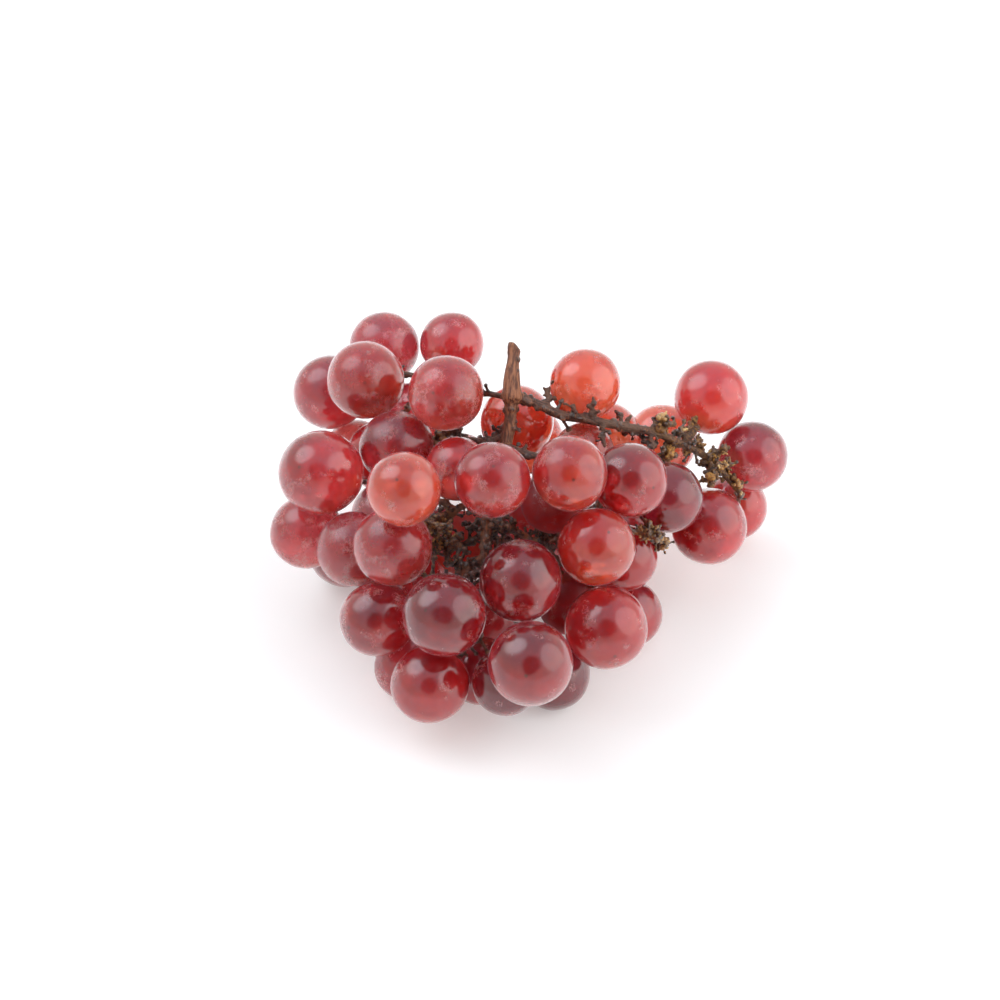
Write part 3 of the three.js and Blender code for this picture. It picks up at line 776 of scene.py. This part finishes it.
def round_off(piece):
    """Smooths the fork, and leaves the cut end a slanting knob on a slimmer neck."""
    points = positions(piece.data)
    group = piece.vertex_groups.new(name="fork")
    near = np.clip(1.4 - np.linalg.norm(points - np.array(FORK), axis=1) / FORK_REACH, 0, 1)
    for i in np.nonzero(near > 0)[0]:
        group.add([int(i)], float(near[i]), "REPLACE")
    blend = piece.modifiers.new("blend", "SMOOTH")
    blend.vertex_group = "fork"
    blend.factor = 0.5
    blend.iterations = FORK_ROUNDS
    mesh = apply_modifiers(piece)
    piece.vertex_groups.clear()
    axis = CUT_END - FORK
    length = axis.length
    axis.normalize()
    for vertex in mesh.vertices:
        off = vertex.co - FORK
        along = off.dot(axis) / length
        out = off - axis * off.dot(axis)
        if along < 0.1 or out.length > STALK_REACH:
            continue
        girth = (1 - 0.22 * bulge(along, 0.72, 0.22)) * (1 + 0.1 * bulge(along, 0.93, 0.08))
        slant = out.x / STALK_RADIUS
        tip = min(max((along + 0.06 * slant - 0.9) / 0.12, 0), 1)
        vertex.co -= out * (1 - girth * (1 - 0.45 * tip**2))
        vertex.co -= axis * length * 0.05 * (slant + 0.6) * tip
    return mesh


fuse(0.45, 3)
plain = round_off(stem)
measure(plain)
plain_surface = surface_tree(plain)

# Sizes are in millimetres. A growth is smaller where there is little room to the next grape.
knobs = Grower("knobs_and_spurs")
thick = knobs.attribute("thick")
room = knobs.attribute("room")
tangle = knobs.attribute("tangle")
dry = knobs.attribute("dry")
place = Socket(knobs.tree, knobs.node("GeometryNodeInputPosition").outputs[0])
height = place.up() / MM
knob_size = knobs.value("Knob size", 1.0)
knob_density = knobs.value("Knobs a square metre", 90000)
spur_density = knobs.value("Spurs a square metre", 35000)
twig_density = knobs.value("Twigs a square metre", 40000)
slim = thick.ramp(3.4, 2.9) * height.ramp(62, 59)
spur = knobs.joined([
    knobs.ball(0.42, (0, 0, 0.2), 1.6),
    knobs.ball(0.36, (0.1, 0, 0.9), 1.6),
    knobs.ball(0.34, (0.3, 0.05, 1.5), 1.4),
    knobs.ball(0.52, (0.5, 0.1, 2.1)),
    knobs.ball(0.36, (0.05, 0.4, 1.7)),
])
knobs.scatter(
    knobs.ball(0.8, squash=0.8),
    knob_density * (slim * 0.9 + 0.1) * room.ramp(0.3, 0.9),
    knob_size * knobs.chance(0.7, 1.5) * room.ramp(0.2, 1.5, 0.5, 1.0),
    lean=0.3,
)
knobs.scatter(
    spur,
    spur_density * slim * room.ramp(0.8, 1.6) * height.ramp(52, 46, 1.0, 2.5)
    * (1 + tangle * 2 - dry * 0.5),
    knob_size * knobs.chance(0.6, 1.25) * room.ramp(0.8, 3.0, 0.35, 1.0),
    lean=0.6,
)
twig_beads = [
    knobs.ball(0.36, (0.12 * i * i * 0.3, 0.1 * (i % 2), 0.5 * i), 1.5) for i in range(9)
]
twig_knobs = [
    knobs.ball(0.6, (1.9, 0.1, 4.3)),
    knobs.ball(0.5, (0.7, 0.5, 2.6)),
    knobs.ball(0.5, (0.4, -0.5, 1.6)),
]
twig = knobs.joined(twig_beads + twig_knobs)
knobs.scatter(
    twig,
    twig_density * slim * room.ramp(1.0, 2.0) * height.ramp(50, 46) * (1 + tangle * 3),
    knob_size * knobs.chance(0.7, 1.3) * room.ramp(1.2, 5.0, 0.4, 1.0) * (1 + tangle * 0.45),
    lean=0.7,
)
knobs.grow_on(stem, bark)
KNOB_RISE = 0.6  # millimetres above the plain stem, from where bark counts as knob
skin_mesh = fuse(0.26, 1, 0.4)
measure(skin_mesh)
rises = [plain_surface.find_nearest(v.co)[3] / MM for v in skin_mesh.vertices]
store(skin_mesh, "knob", np.clip(np.array(rises) / KNOB_RISE, 0, 1))

scraps = Grower("golden_scraps")
dry = scraps.attribute("dry")
room = scraps.attribute("room")
scrap_density = scraps.value("Scraps a square metre", 120000)
husk = scraps.joined([
    scraps.ball(0.95, (0, 0, 0.5), 0.8),
    scraps.ball(0.6, (0.7, 0.1, 1.0), 0.7),
    scraps.ball(0.5, (-0.5, 0.4, 1.1), 0.8),
])
flake = scraps.joined([
    scraps.ball(0.34, (0, 0, 0.3), 1.4),
    scraps.ball(0.26, (0.25, 0, 0.8), 1.7),
])
spread = dry.ramp(0.3, 1.0) * room.ramp(0.4, 1.2)
scrap_places = scrap_density * spread
husk_gold, flake_gold = (-0.6, 1.0), (-0.3, 1.3)
scraps.scatter(husk, scrap_places, scraps.chance(0.5, 1.5), 0.8, golden=scraps.chance(*husk_gold))
scraps.scatter(flake, scrap_places, scraps.chance(0.6, 1.5), 1.1, golden=scraps.chance(*flake_gold))
scraps.grow_on(stem, bark)
stem_mesh = apply_modifiers(stem)
stem_mesh.name = "woody_stem"
stem_mesh.shade_smooth()
stem_mesh.validate()
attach(stem, "root")
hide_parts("stem")
